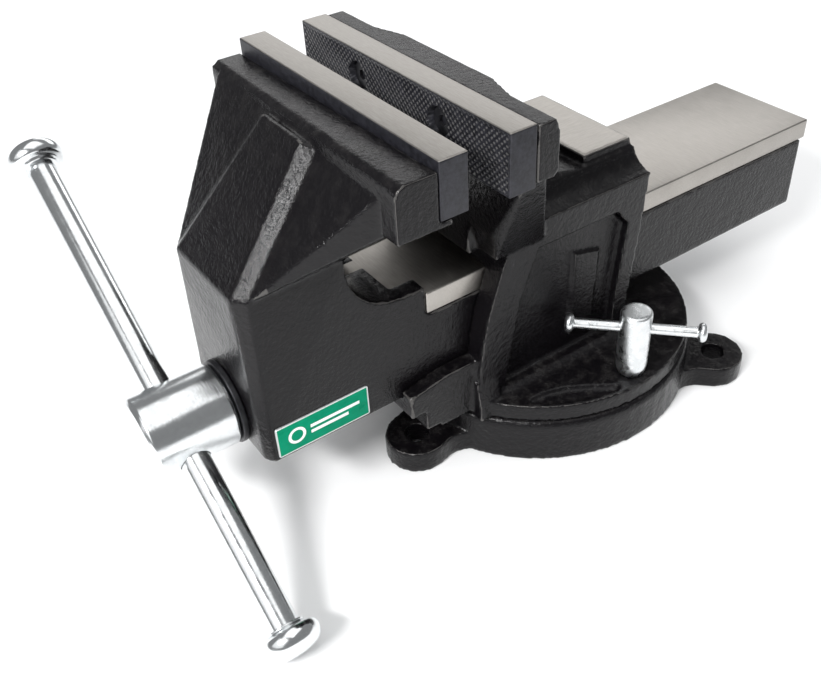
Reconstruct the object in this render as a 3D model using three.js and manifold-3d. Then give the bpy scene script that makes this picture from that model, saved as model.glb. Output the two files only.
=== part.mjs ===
// A bench vise on a swivel base, with 150 mm wide jaws, as an assembly of separate pieces.
// Millimetres, +Z up. The origin is on the swivel axis, at the underside of the base.
// The jaws are along X, the slide runs along Y, and the handle end is towards -Y.
import * as THREE from 'three';
import { ConvexGeometry } from 'three/addons/geometries/ConvexGeometry.js';
import { mergeVertices } from 'three/addons/utils/BufferGeometryUtils.js';
import Module from 'manifold-3d';

const wasm = await Module();
wasm.setup();

// ---- driving dimensions ----
const GAP = 0.3;                 // clearance between pieces that touch
const JAW_HALF = 75;             // half of the jaw width
const JAW_TOP = 190;
const JAW_PLATE = { thick: 12.9, fixedHeight: 27, movingHeight: 24.5, screwX: 29.5, screwZ: 177.5 };
const FIXED_FACE = -80;          // Y of the fixed jaw's working face
const JAW_GAP = 19.25;           // opening between the jaws as stored
const MOVING_FACE = FIXED_FACE - JAW_GAP;

const SLIDE = { half: 33.5, top: 100.8, underPlate: 89.5, bottom: 49, rear: 168.5 };
const SLIDE_PLATE = { half: 33.1, frontHalf: 23.6, step: -91.8, front: -135, rear: 172 };
const CHANNEL = { half: 23, roof: 81.5, front: -150 };
const NOSE = { front: -177.5, corner: -174.5, flat: 24, ridge: 131.5,
  rightTop: [30.2, -172.3, 131.5], leftTop: [-33, -174.5, 126.5] };

const LEDGE = { bottom: 162.6, lip: -107, right: { top: 186.2, front: -131.2 }, left: { top: 183, front: -127.8 } };
const LABEL = { y: [-172.5, -126], z: [50.4, 66.9], sunk: 0.5 };

const SPINDLE = { z: 63.7, r: 11, headR: 19, headFront: -220, headRear: -180.8, end: 136 };
// The handle bar hangs at a slant in its loose hole, its lower knob just clear of the bench.
const HANDLE = { y: -202.8, r: 6.6, tilt: -60.6, lean: 0.8, up: 149.2, down: 103.5 };
const NUT = { half: 20, front: -36, rear: 4, top: 80.8 };

const FLOOR = 48.5;              // floor of the housing, under the spindle
const HOUSING = { half: 45, cavity: 33.9, roof: 101.2, shoulder: 122.5 };
const ANVIL = { half: 31.5, front: 0.8, rear: 30.8, top: 135.7 };
const PANEL = { depth: 5, raised: 2 };
const SWIVEL = { r: 82.5, bottom: 24, top: 33 };
const BOSS = { r: 18, top: 31 };
const BASE = { r: 84.5, height: 23.7, lugR: 98, lugEnd: 16, lugThick: 12, lugHole: 6, lugAngles: [-76, 43, 163.5] };
const SLOT = { floor: 5.5, roof: 15, inner: 62, outer: 80, lipInner: 66.5, lipOuter: 77.5 };
const LOCK = { x: 72, y: 2, headR: 7.7, top: 70, shankR: 5, barZ: 60, barR: 2.6, barHalf: 29.5,
  barAngle: { right: 44, left: 51 } };

// ---- finishes ----
const finish = (color, roughness, metalness) => ({ color, roughness, metalness });
const BLACK_ENAMEL = finish(0x17171a, 0.32, 0.0);
const GROUND_STEEL = finish(0xb9b4ab, 0.42, 1.0);
const BLACK_STEEL = finish(0x232326, 0.5, 0.6);
const PLATED = finish(0xc9ccd0, 0.16, 1.0);
const PLAIN_STEEL = finish(0x8b8a86, 0.4, 1.0);
const GREEN_LABEL = finish(0x0a9b73, 0.35, 0.0);

const vise = new THREE.Group();

// ---- solids ----
function solid(geometry) {
  const plain = geometry.index ? geometry.toNonIndexed() : geometry.clone();
  plain.deleteAttribute('normal');
  plain.deleteAttribute('uv');
  const merged = mergeVertices(plain, 1e-4);
  const mesh = new wasm.Mesh({
    numProp: 3,
    vertProperties: new Float32Array(merged.attributes.position.array),
    triVerts: new Uint32Array(merged.index.array),
  });
  return new wasm.Manifold(mesh);
}

function block(x, y, z) {
  const box = new THREE.BoxGeometry(x[1] - x[0], y[1] - y[0], z[1] - z[0]);
  return solid(box.translate((x[0] + x[1]) / 2, (y[0] + y[1]) / 2, (z[0] + z[1]) / 2));
}

// A round bar from one point to another.
function rod(radius, from, to, sides = 32) {
  const a = new THREE.Vector3(...from);
  const b = new THREE.Vector3(...to);
  const way = b.clone().sub(a);
  const bar = new THREE.CylinderGeometry(radius, radius, way.length(), sides);
  const turn = new THREE.Quaternion().setFromUnitVectors(new THREE.Vector3(0, 1, 0), way.normalize());
  bar.applyQuaternion(turn);
  const middle = a.add(b).multiplyScalar(0.5);
  return solid(bar.translate(middle.x, middle.y, middle.z));
}

// A turned piece: the profile is [radius, distance along the axis], the axis starts at a point.
function turned(profile, start, direction, sides = 32) {
  const lathe = new THREE.LatheGeometry(profile.map(([r, h]) => new THREE.Vector2(r, h)), sides);
  const turn = new THREE.Quaternion().setFromUnitVectors(
    new THREE.Vector3(0, 1, 0), new THREE.Vector3(...direction).normalize());
  return solid(lathe.applyQuaternion(turn).translate(...start));
}

const outline = (points) => new THREE.Shape(points.map(([a, b]) => new THREE.Vector2(a, b)));

// An outline in X and Y, raised from one height to another.
function slab(points, bottom, top) {
  const shape = new THREE.ExtrudeGeometry(outline(points), { depth: top - bottom, bevelEnabled: false });
  return solid(shape.translate(0, 0, bottom));
}

// An outline in Y and Z, as wide along X as given.
function crosswise(points, left, right) {
  const shape = new THREE.ExtrudeGeometry(outline(points), { depth: right - left, bevelEnabled: false });
  const axes = new THREE.Matrix4().makeBasis(
    new THREE.Vector3(0, 1, 0), new THREE.Vector3(0, 0, 1), new THREE.Vector3(1, 0, 0));
  return solid(shape.applyMatrix4(axes).translate(left, 0, 0));
}

const hull = (points) => solid(new ConvexGeometry(points.map((p) => new THREE.Vector3(...p))));

// Both mirror images of a list of points, for a hull across the middle plane.
const bothSides = (points) => points.flatMap(([x, y, z]) => [[x, y, z], [-x, y, z]]);

// Points of an arc, from one angle to another in degrees.
function arc(centre, radius, from, to, steps) {
  return Array.from({ length: steps + 1 }, (_, i) => {
    const angle = THREE.MathUtils.degToRad(from + ((to - from) * i) / steps);
    return [centre[0] + radius * Math.cos(angle), centre[1] + radius * Math.sin(angle)];
  });
}

const join = (...pieces) => pieces.reduce((whole, piece) => whole.add(piece));
const cut = (whole, ...pieces) => pieces.reduce((rest, piece) => rest.subtract(piece), whole);

function add(name, shape, look) {
  const out = shape.getMesh();
  const geometry = new THREE.BufferGeometry();
  geometry.setAttribute('position', new THREE.BufferAttribute(new Float32Array(out.vertProperties), 3));
  geometry.setIndex(new THREE.BufferAttribute(new Uint32Array(out.triVerts), 1));
  geometry.computeVertexNormals();
  const mesh = new THREE.Mesh(geometry, new THREE.MeshStandardMaterial(look));
  mesh.name = name;
  vise.add(mesh);
}

// ---- base casting: round foot with an annular T-slot, a centring boss and three bolt lugs ----
function lug(angle) {
  const side = [];
  for (let i = 0; i <= 10; i += 1) {
    const along = 72 + ((BASE.lugR - 72) * i) / 10;
    const flare = Math.max(0, (92 - along) / 20);
    side.push([along, -(BASE.lugEnd + 20 * flare * flare)]);
  }
  const end = arc([BASE.lugR, 0], BASE.lugEnd, -90, 90, 12).slice(1, -1);
  const other = side.map(([u, v]) => [u, -v]).reverse();
  const turn = THREE.MathUtils.degToRad(angle);
  const points = [...side, ...end, ...other].map(([u, v]) =>
    [u * Math.cos(turn) - v * Math.sin(turn), u * Math.sin(turn) + v * Math.cos(turn)]);
  return slab(points, 0, BASE.lugThick);
}

function baseCasting() {
  const foot = turned([
    [0, 0], [BASE.r, 0], [BASE.r - 0.3, 21], [BASE.r - 1.8, BASE.height],
    [SLOT.lipOuter, BASE.height], [SLOT.lipOuter, SLOT.roof], [SLOT.outer, SLOT.roof],
    [SLOT.outer, SLOT.floor], [SLOT.inner, SLOT.floor], [SLOT.inner, SLOT.roof],
    [SLOT.lipInner, SLOT.roof], [SLOT.lipInner, BASE.height], [BOSS.r, BASE.height],
    [BOSS.r, BOSS.top - 1], [BOSS.r - 1, BOSS.top], [0, BOSS.top],
  ], [0, 0, 0], [0, 0, 1], 60);
  const middle = (SLOT.inner + SLOT.outer) / 2;
  const entry = rod(10, [0, -middle, SLOT.floor + 1], [0, -middle, BASE.height + 1], 24)
    .add(block([-10, 10], [-SLOT.outer + 1, -SLOT.inner - 1], [SLOT.floor, SLOT.roof]));
  const ears = BASE.lugAngles.map(lug).reduce((a, b) => a.add(b));
  const core = rod(SLOT.outer + 2, [0, 0, -1], [0, 0, BASE.lugThick + 1], 72);
  const holes = BASE.lugAngles.map((angle) => {
    const turn = THREE.MathUtils.degToRad(angle);
    const [x, y] = [BASE.lugR * Math.cos(turn), BASE.lugR * Math.sin(turn)];
    return rod(BASE.lugHole, [x, y, -1], [x, y, BASE.lugThick + 1], 24);
  });
  return cut(join(foot, ears.subtract(core)), entry, ...holes);
}
add('base_casting', baseCasting(), BLACK_ENAMEL);

// ---- fixed body: swivel plate, housing of the slide, fixed jaw and anvil in one casting ----
function sidePanel(side) {
  const recess = [[-37, 108], [12, 107.5], [20, 98], [15.5, 60], [14, 35], [-56, 35], [-47, 83]];
  const pad = [[-11, 92], [5, 88], [3, 50], [-12, 44]];
  const [inner, outer] = [HOUSING.half - PANEL.depth, HOUSING.half + 20];
  const whole = crosswise(recess, inner, outer)
    .subtract(crosswise(pad, inner - 1, inner + PANEL.raised));
  return side > 0 ? whole : whole.mirror([1, 0, 0]);
}

function fixedBody() {
  const plate = rod(SWIVEL.r, [0, 0, SWIVEL.bottom], [0, 0, SWIVEL.top], 72);
  const walls = crosswise([
    [-72.5, SWIVEL.bottom], [24, SWIVEL.bottom], [24.5, 53], [26.5, 70], [29, 90], [32, HOUSING.shoulder],
    [-38.5, HOUSING.shoulder], [-52.5, 117.4], [-58, 106], [-61.5, 95.6], [-66, 82], [-69, 68.5], [-71.3, 53],
  ], -HOUSING.half, HOUSING.half);
  const feet = hull(bothSides([
    [HOUSING.half + 3.5, -73.5, SWIVEL.bottom], [HOUSING.half + 3.5, -60, SWIVEL.bottom],
    [HOUSING.half, -73, 45], [HOUSING.half, -61, 45], [HOUSING.half + 3, -73.5, 33], [HOUSING.half + 3, -60, 33],
  ]));
  // The concave skirt that spreads from each side wall onto the swivel plate.
  const skirt = [-1, 1].map((side) => {
    const curve = arc([HOUSING.half + 7, SWIVEL.top + 12], 12, 180, 270, 5)
      .map(([x, z]) => [side * x, z]);
    const section = [...curve, [side * (HOUSING.half + 7), SWIVEL.top - 2], [side * 36, SWIVEL.top - 2],
      [side * 36, SWIVEL.top + 12]];
    const shape = new THREE.ExtrudeGeometry(outline(section), { depth: 78, bevelEnabled: false });
    return solid(shape.applyMatrix4(new THREE.Matrix4().makeBasis(
      new THREE.Vector3(1, 0, 0), new THREE.Vector3(0, 0, 1), new THREE.Vector3(0, -1, 0)))
      .translate(0, 20, 0));
  });
  // Saddle from the back of the jaw down to the anvil, and the anvil itself.
  const saddle = crosswise([
    [-66.8, 110], [-66.8, 189], [-53, 189], [-49.5, 176], ...arc([-9, 170.5], 38, 172, 262, 9),
    [ANVIL.front, 130.5], [ANVIL.front, ANVIL.top], [ANVIL.rear, ANVIL.top], [32, HOUSING.shoulder - 1],
    [32, 110],
  ], -ANVIL.half, ANVIL.half);
  // Each side of the saddle and anvil spreads in a hollow curve to the shoulder of the housing.
  const shoulderY = [-46, 32];
  const cove = [-1, 1].map((side) => {
    const rim = arc([HOUSING.half, HOUSING.shoulder + 12], 12, 270, 196, 6)
      .map(([x, z]) => [side * x, z]);
    const section = [...rim, [side * 28, HOUSING.shoulder + 8.7], [side * 28, HOUSING.shoulder - 2],
      [side * HOUSING.half, HOUSING.shoulder - 2]];
    const shape = new THREE.ExtrudeGeometry(outline(section),
      { depth: shoulderY[1] - shoulderY[0], bevelEnabled: false });
    return solid(shape.applyMatrix4(new THREE.Matrix4().makeBasis(
      new THREE.Vector3(1, 0, 0), new THREE.Vector3(0, 0, 1), new THREE.Vector3(0, -1, 0)))
      .translate(0, shoulderY[1], 0));
  });
  const jaw = hull(bothSides([
    [JAW_HALF, -66.8, 164.5], [JAW_HALF, -66.8, 189], [JAW_HALF, -57.5, 189], [JAW_HALF, -55.5, 183],
    [JAW_HALF, -55.5, 167], [JAW_HALF, -58, 164.5],
  ]));
  const bulge = hull(bothSides([[38, -58, 189], [38, -58, 150], [32, -53, 189], [32, -48, 150],
    [50, -58, 189], [50, -58, 150]]));
  const neck = hull(bothSides([
    [70, -66.8, 164.6], [70, -57, 164.6], [HOUSING.half, -62, 112], [HOUSING.half, -34, 112],
    [48, -66.8, 128], [46, -38, 128], [36, -46, 164.6],
  ]));
  // The tongue under the slide carries it ahead of the housing, between two low lips.
  const tongue = join(
    block([-41.5, 41.5], [-108.5, -60], [41, 57]),
    block([-41.5, 41.5], [-100, -60], [29.5, 42]),
    block([-41.5, 41.5], [-92, -60], [27.5, 30]));
  const lipSlope = hull(bothSides([[50, -110, 58], [50, -110, 53], [50, -84, 58]]));
  const way = block([-HOUSING.cavity, HOUSING.cavity], [-130, 60], [FLOOR, HOUSING.roof]);
  const bossSeat = rod(BOSS.r + GAP, [0, 0, SWIVEL.bottom - 1], [0, 0, BOSS.top + GAP], 50);
  const lockHoles = [-1, 1].map((side) =>
    rod(LOCK.shankR + GAP, [side * LOCK.x, LOCK.y, 20], [side * LOCK.x, LOCK.y, 40], 24));
  const crescents = [-1, 1].map((side) => {
    const rim = arc([0, 0], 79.5, -41.5, -8.5, 8);
    const inner = [[76, -10.5], [68, -21], [61.5, -31.5], [58, -41], [57.3, -50]];
    return slab([...rim, ...inner].map(([x, y]) => [side * x, y]), SWIVEL.top - 2, SWIVEL.top + 5);
  });
  const nutScrewHoles = [-1, 1].flatMap((side) => [
    rod(3.3, [side * 14.5, -22, 20], [side * 14.5, -22, 60], 16),
    rod(5.9, [side * 14.5, -22, 20], [side * 14.5, -22, 34.3], 16)]);
  const jawScrewHoles = [-1, 1].map((side) => rod(4.3,
    [side * JAW_PLATE.screwX, -70, JAW_PLATE.screwZ], [side * JAW_PLATE.screwX, -52, JAW_PLATE.screwZ], 16));
  const casting = join(plate, walls, feet, ...skirt, saddle, ...cove, jaw, bulge, neck, tongue);
  return cut(casting, lipSlope, way, sidePanel(1), sidePanel(-1),
    bossSeat, ...lockHoles, ...crescents, ...nutScrewHoles, ...jawScrewHoles);
}
add('fixed_body', fixedBody(), BLACK_ENAMEL);

// ---- spindle nut, standing on the floor of the housing, with its two screws from below ----
const nutBlock = cut(
  block([-NUT.half, NUT.half], [NUT.front, NUT.rear], [FLOOR + GAP, NUT.top]),
  rod(SPINDLE.r + GAP, [0, NUT.front - 1, SPINDLE.z], [0, NUT.rear + 1, SPINDLE.z], 32),
  ...[-1, 1].map((side) => rod(3.3, [side * 14.5, -22, 40], [side * 14.5, -22, 60], 16)));
add('spindle_nut', nutBlock, PLAIN_STEEL);
for (const [name, side] of [['nut_screw_left', -1], ['nut_screw_right', 1]]) {
  const profile = [[0, 0], [5.5, 0], [5.5, 6], [3, 6], [3, 31], [0, 31]];
  const socket = rod(2.4, [side * 14.5, -22, 20], [side * 14.5, -22, 31], 6);
  add(name, turned(profile, [side * 14.5, -22, 28], [0, 0, 1], 24).subtract(socket), BLACK_STEEL);
}

// ---- jaw plates and their countersunk screws ----
// A plate reaches from its working face back by its thickness; back is +1 or -1 along Y.
function jawPlate(face, back, height) {
  const rear = face + back * JAW_PLATE.thick;
  const plate = block([-JAW_HALF, JAW_HALF], [Math.min(face, rear), Math.max(face, rear)],
    [JAW_TOP - height, JAW_TOP]);
  const holes = [-1, 1].map((side) => turned([[0, -1], [6.6, -1], [6.6, 4], [4.3, 6.4], [4.3, 20], [0, 20]],
    [side * JAW_PLATE.screwX, face, JAW_PLATE.screwZ], [0, back, 0], 24));
  return cut(plate, ...holes);
}

function jawScrew(face, back, side) {
  const profile = [[0, 2.8], [5.9, 2.8], [6.2, 3.4], [6.2, 4.1], [4, 6.5], [4, 24], [0, 24]];
  const start = [side * JAW_PLATE.screwX, face, JAW_PLATE.screwZ];
  const socket = rod(2.5, start, [start[0], face + back * 5.6, start[2]], 6);
  return turned(profile, start, [0, back, 0], 24).subtract(socket);
}

add('fixed_jaw_plate', jawPlate(FIXED_FACE, 1, JAW_PLATE.fixedHeight), GROUND_STEEL);
add('moving_jaw_plate', jawPlate(MOVING_FACE, -1, JAW_PLATE.movingHeight), GROUND_STEEL);
for (const [word, side] of [['left', -1], ['right', 1]]) {
  add(`fixed_jaw_screw_${word}`, jawScrew(FIXED_FACE, 1, side), BLACK_STEEL);
  add(`moving_jaw_screw_${word}`, jawScrew(MOVING_FACE, -1, side), BLACK_STEEL);
}

// ---- moving jaw body: nose, slide and jaw in one casting ----
function movingBody() {
  const jawBack = MOVING_FACE - JAW_PLATE.thick - GAP;
  const slide = crosswise([
    [-131, SLIDE.bottom], [SLIDE.rear, SLIDE.bottom], [SLIDE.rear, SLIDE.underPlate],
    [SLIDE_PLATE.step, SLIDE.underPlate],
    [SLIDE_PLATE.step, 104.4], [-104, 104.8], ...arc([-106, 129.5], 24.3, 268, 182, 8),
    [-130.5, 137], [-113, 158], [-113, 166], [-131, 166],
  ], -SLIDE.half, SLIDE.half);
  const nose = hull([NOSE.rightTop, NOSE.leftTop,
    ...bothSides([[NOSE.flat, NOSE.front, NOSE.ridge], [29, NOSE.front, SLIDE.bottom],
      [SLIDE.half, NOSE.corner, SLIDE.bottom], [SLIDE.half, -130.5, SLIDE.bottom],
      [SLIDE.half, -130.5, 137]]),
  ]);
  const flare = hull([NOSE.rightTop, NOSE.leftTop, ...bothSides([
    [SLIDE.half, jawBack, 137], [54.2, -136.4, 171.4], [59.2, -131, 177.9], [66, -129.2, 180],
    [66, -129.2, LEDGE.bottom], [66, jawBack, LEDGE.bottom], [66, jawBack, 181],
  ])]);
  const crown = hull([NOSE.rightTop, NOSE.leftTop, ...bothSides([
    [NOSE.flat, NOSE.front, NOSE.ridge], [15, -133.6, 182], [21.7, -129.9, 178.4],
    [21.7, jawBack, 170], [24, NOSE.corner, 125],
  ])]);
  // The ledge behind the jaw plate; its left end was cast a little lower and thinner.
  const ledgeEnd = (x, top, front) => [[jawBack, LEDGE.bottom], [jawBack, top], [front + 3.6, top],
    [front + 0.8, top - 2], [front, top - 4.4], [front, LEDGE.bottom]].map(([y, z]) => [x, y, z]);
  const jaw = join(
    hull([...ledgeEnd(JAW_HALF, LEDGE.right.top, LEDGE.right.front),
      ...ledgeEnd(-JAW_HALF, LEDGE.left.top, LEDGE.left.front)]),
    block([-JAW_HALF, JAW_HALF], [jawBack - 2, LEDGE.lip], [LEDGE.bottom, JAW_TOP - JAW_PLATE.movingHeight - GAP]));
  const hollow = block([-CHANNEL.half, CHANNEL.half], [CHANNEL.front, 200], [0, CHANNEL.roof]);
  const plateSeat = block([-SLIDE_PLATE.frontHalf - GAP, SLIDE_PLATE.frontHalf + GAP],
    [SLIDE_PLATE.front - GAP, -60], [SLIDE.underPlate, SLIDE.top + 4]);
  const plateRelief = block([-40, 40], [SLIDE_PLATE.step - GAP, 200], [SLIDE.underPlate, SLIDE.top + 30]);
  const bore = rod(SPINDLE.r + GAP, [0, -190, SPINDLE.z], [0, -140, SPINDLE.z], 32);
  const scoop = rod(18, [0, -140, 122.5], [0, -80, 122.5], 24);
  const screwHoles = [-1, 1].map((side) => rod(4.3, [side * JAW_PLATE.screwX, -125, JAW_PLATE.screwZ],
    [side * JAW_PLATE.screwX, -105, JAW_PLATE.screwZ], 16));
  const labelSeat = block([SLIDE.half - LABEL.sunk, SLIDE.half + 5], [LABEL.y[0] - GAP, LABEL.y[1] + GAP],
    [LABEL.z[0] - GAP, LABEL.z[1] + GAP]);
  return cut(join(slide, nose, flare, crown, jaw), hollow, plateSeat, plateRelief, bore, scoop, labelSeat,
    ...screwHoles);
}
add('moving_jaw_body', movingBody(), BLACK_ENAMEL);

// ---- ground plate on top of the slide, narrower where it runs in between the cheeks ----
const slidePlate = join(
  block([-SLIDE_PLATE.half, SLIDE_PLATE.half], [SLIDE_PLATE.step, SLIDE_PLATE.rear],
    [SLIDE.underPlate + GAP, SLIDE.top]),
  block([-SLIDE_PLATE.frontHalf, SLIDE_PLATE.frontHalf], [SLIDE_PLATE.front, SLIDE_PLATE.step + 1],
    [SLIDE.underPlate + GAP, SLIDE.top]));
add('slide_plate', slidePlate, GROUND_STEEL);

// ---- nameplate without lettering, let into the right cheek ----
add('side_label', block([SLIDE.half - LABEL.sunk + 0.1, SLIDE.half + 0.3], LABEL.y, LABEL.z), GREEN_LABEL);

// ---- spindle with its head, washer, thrust collar and collar pin ----
const headLength = SPINDLE.headRear - SPINDLE.headFront;
const shaftLength = SPINDLE.end - SPINDLE.headFront;
const spindleProfile = [
  [0, 0], [SPINDLE.headR - 2.2, 0], [SPINDLE.headR - 0.5, 0.8], [SPINDLE.headR, 2.4],
  [SPINDLE.headR, headLength - 1], [SPINDLE.headR - 1, headLength], [SPINDLE.r, headLength],
  [SPINDLE.r, shaftLength - 2], [SPINDLE.r - 2, shaftLength], [0, shaftLength],
];
const tilt = THREE.MathUtils.degToRad(HANDLE.tilt);
const lean = THREE.MathUtils.degToRad(HANDLE.lean);
const handleWay = [Math.sin(tilt) * Math.cos(lean), Math.sin(lean), Math.cos(tilt) * Math.cos(lean)];
const onHandle = (distance) => [handleWay[0] * distance, HANDLE.y + handleWay[1] * distance,
  SPINDLE.z + handleWay[2] * distance];
const COLLAR = { front: CHANNEL.front + GAP, width: 9, r: 14.4, pinY: CHANNEL.front + GAP + 4.5, pinR: 2 };
const spindle = cut(
  turned(spindleProfile, [0, SPINDLE.headFront, SPINDLE.z], [0, 1, 0], 40),
  rod(HANDLE.r + GAP, onHandle(-30), onHandle(30), 32),
  rod(COLLAR.pinR + 0.2, [0, COLLAR.pinY, SPINDLE.z - 30], [0, COLLAR.pinY, SPINDLE.z + 30], 16));
add('spindle', spindle, PLATED);

const ring = (outer, inner, from, to) => cut(
  rod(outer, [0, from, SPINDLE.z], [0, to, SPINDLE.z], 40),
  rod(inner, [0, from - 1, SPINDLE.z], [0, to + 1, SPINDLE.z], 32));
add('head_washer', ring(20.3, SPINDLE.r + 0.4, SPINDLE.headRear + GAP, NOSE.front - GAP), BLACK_STEEL);
add('thrust_collar', ring(COLLAR.r, SPINDLE.r + GAP, COLLAR.front, COLLAR.front + COLLAR.width)
  .subtract(rod(COLLAR.pinR + 0.2, [0, COLLAR.pinY, SPINDLE.z - 30], [0, COLLAR.pinY, SPINDLE.z + 30], 16)),
PLAIN_STEEL);
add('collar_pin', rod(COLLAR.pinR, [0, COLLAR.pinY, SPINDLE.z - 14], [0, COLLAR.pinY, SPINDLE.z + 14], 16),
  PLAIN_STEEL);

// ---- handle bar through the head, with a knob on each end ----
const KNOB = { r: 13, half: 6, tenon: 3.2 };
const bar = turned([
  [0, -(HANDLE.down + 3)], [KNOB.tenon, -(HANDLE.down + 3)], [KNOB.tenon, -(HANDLE.down - KNOB.half)],
  [HANDLE.r, -(HANDLE.down - KNOB.half)], [HANDLE.r, HANDLE.up - KNOB.half], [KNOB.tenon, HANDLE.up - KNOB.half],
  [KNOB.tenon, HANDLE.up + 3], [0, HANDLE.up + 3],
], onHandle(0), handleWay, 32);
add('handle_bar', bar, PLATED);

// The knob is a flattened ball with a short collar on its inner side; it opens towards the bar.
function knob(distance, outward) {
  const dome = arc([KNOB.r - 6, 0], 6, -55, 75, 5).map(([r, h]) => [r, h]);
  const profile = [
    [KNOB.tenon + GAP, -KNOB.half + GAP], [8.6, -KNOB.half + GAP], [9.4, -5.2], ...dome,
    [5, KNOB.half + 0.6], [0, KNOB.half + 0.9], [0, 3 + GAP], [KNOB.tenon + GAP, 3 + GAP],
    [KNOB.tenon + GAP, -KNOB.half + GAP]];
  return turned(profile, onHandle(distance), handleWay.map((c) => c * outward), 28);
}
add('handle_knob_upper', knob(HANDLE.up, 1), PLATED);
add('handle_knob_lower', knob(-HANDLE.down, -1), PLATED);

// ---- swivel locks: a tall headed screw, its bar, and a nut in the T-slot of the base ----
const TEE_NUT = { across: 6.7, along: 9, bottom: SLOT.floor + GAP, top: SLOT.roof - GAP };
for (const [word, side] of [['right', 1], ['left', -1]]) {
  const [x, y] = [side * LOCK.x, LOCK.y];
  const turn = THREE.MathUtils.degToRad(LOCK.barAngle[word]);
  const barWay = [Math.cos(turn), Math.sin(turn), 0];
  const at = (distance) => [x + barWay[0] * distance, y + barWay[1] * distance, LOCK.barZ];
  const height = LOCK.top - SWIVEL.top - GAP;
  const shank = SWIVEL.top + GAP - TEE_NUT.bottom - 1;
  const screw = turned([
    [0, -shank], [LOCK.shankR, -shank], [LOCK.shankR, 0], [LOCK.headR - 1.6, 0], [LOCK.headR - 0.2, 3.5],
    [LOCK.headR, 8], [LOCK.headR, height - 1], [LOCK.headR - 1, height], [0, height],
  ], [x, y, SWIVEL.top + GAP], [0, 0, 1], 32);
  add(`lock_screw_${word}`, screw.subtract(rod(LOCK.barR + GAP, at(-12), at(12), 24)), PLATED);
  const end = [[LOCK.barR, 0], [4.3, 0.5], [4.9, 1.9], [4.2, 3.4], [2.4, 4.1], [0, 4.2]];
  const profile = [...end.map(([r, h]) => [r, -(LOCK.barHalf + h)]).reverse(),
    ...end.map(([r, h]) => [r, LOCK.barHalf + h])];
  add(`lock_bar_${word}`, turned(profile, at(0), barWay, 16), PLATED);
  const nut = block([x - TEE_NUT.across, x + TEE_NUT.across], [y - TEE_NUT.along, y + TEE_NUT.along],
    [TEE_NUT.bottom, TEE_NUT.top]);
  const thread = rod(LOCK.shankR + GAP, [x, y, 0], [x, y, 20], 24);
  add(`tee_nut_${word}`, nut.subtract(thread), PLAIN_STEEL);
}

export default vise;
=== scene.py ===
"""A 150 mm bench vise on a swivel base: castings, serrated jaw plates, ground slide,
threaded spindle, handle and swivel locks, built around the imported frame."""
import math

import bmesh
import bpy
import numpy as np
from mathutils import Matrix


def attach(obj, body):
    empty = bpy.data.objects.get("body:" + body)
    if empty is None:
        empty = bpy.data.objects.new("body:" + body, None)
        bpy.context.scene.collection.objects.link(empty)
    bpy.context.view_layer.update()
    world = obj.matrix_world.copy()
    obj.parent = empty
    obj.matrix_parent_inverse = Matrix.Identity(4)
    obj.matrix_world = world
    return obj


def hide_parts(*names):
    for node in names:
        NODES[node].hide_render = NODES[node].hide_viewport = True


MM = 0.001
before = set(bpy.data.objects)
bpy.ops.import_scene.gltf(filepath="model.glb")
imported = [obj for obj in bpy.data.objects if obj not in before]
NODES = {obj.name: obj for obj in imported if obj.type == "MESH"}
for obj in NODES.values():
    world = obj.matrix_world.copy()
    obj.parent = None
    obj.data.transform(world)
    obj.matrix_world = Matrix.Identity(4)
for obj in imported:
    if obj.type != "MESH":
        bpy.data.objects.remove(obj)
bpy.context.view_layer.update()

# ---- sizes, in millimetres ----
JAW_HALF, JAW_TOP, JAW_THICK = 75.0, 190.0, 12.9
FIXED_FACE, MOVING_FACE = -80.0, -99.25
JAW_SCREW_X, JAW_SCREW_Z = 29.5, 177.5
SPINDLE_Z, SPINDLE_R, HEAD_R = 63.7, 11.0, 19.0
HEAD_FRONT, HEAD_REAR, SPINDLE_END = -220.0, -180.8, 136.0
THREAD_PITCH, THREAD_START, THREAD_DEPTH = 6.0, -132.0, 2.6
HANDLE_AT = np.array([0.0, -202.8, SPINDLE_Z])
HANDLE_WAY = np.array([-0.871129, 0.013962, 0.490856])
HANDLE_R, HANDLE_UP, HANDLE_DOWN = 6.6, 149.2, 103.5
LOCK_X, LOCK_Y, LOCK_FOOT, LOCK_TOP, LOCK_BAR_Z = 72.0, 2.0, 33.3, 70.0, 60.0
LOCK_BAR_HALF, LOCK_BAR_R = 29.5, 2.6
LOCK_TURN = {"right": 44.0, "left": 51.0}
ANVIL_TOP = 135.7


# ---- mesh making ----
def mesh_object(name, verts, faces, sharp=None):
    """An object from vertices in millimetres and faces as an index array or a list of rings."""
    mesh = bpy.data.meshes.new(name)
    faces = faces if isinstance(faces, list) else faces.tolist()
    mesh.from_pydata((np.asarray(verts) * MM).tolist(), [], faces)
    return finish_mesh(name, mesh, sharp)


def finish_mesh(name, mesh, sharp=None):
    """Makes the object of a mesh; edges that turn by more than `sharp` degrees stay crisp."""
    mesh.validate()
    mesh.polygons.foreach_set("use_smooth", np.ones(len(mesh.polygons), bool))
    if sharp:
        mesh.set_sharp_from_angle(angle=math.radians(sharp))
    mesh.name = name
    piece = bpy.data.objects.new(name, mesh)
    bpy.context.scene.collection.objects.link(piece)
    return piece


def evaluated(piece):
    """The mesh of an object with its modifiers worked in."""
    graph = bpy.context.evaluated_depsgraph_get()
    return bpy.data.meshes.new_from_object(piece.evaluated_get(graph))


def with_modifier(piece, kind, **values):
    """Works one modifier into the mesh of a piece."""
    modifier = piece.modifiers.new(kind.lower(), kind)
    for key, value in values.items():
        setattr(modifier, key, value)
    made = evaluated(piece)
    piece.modifiers.clear()
    old, piece.data = piece.data, made
    bpy.data.meshes.remove(old)
    made.name = piece.name
    return piece


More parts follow.
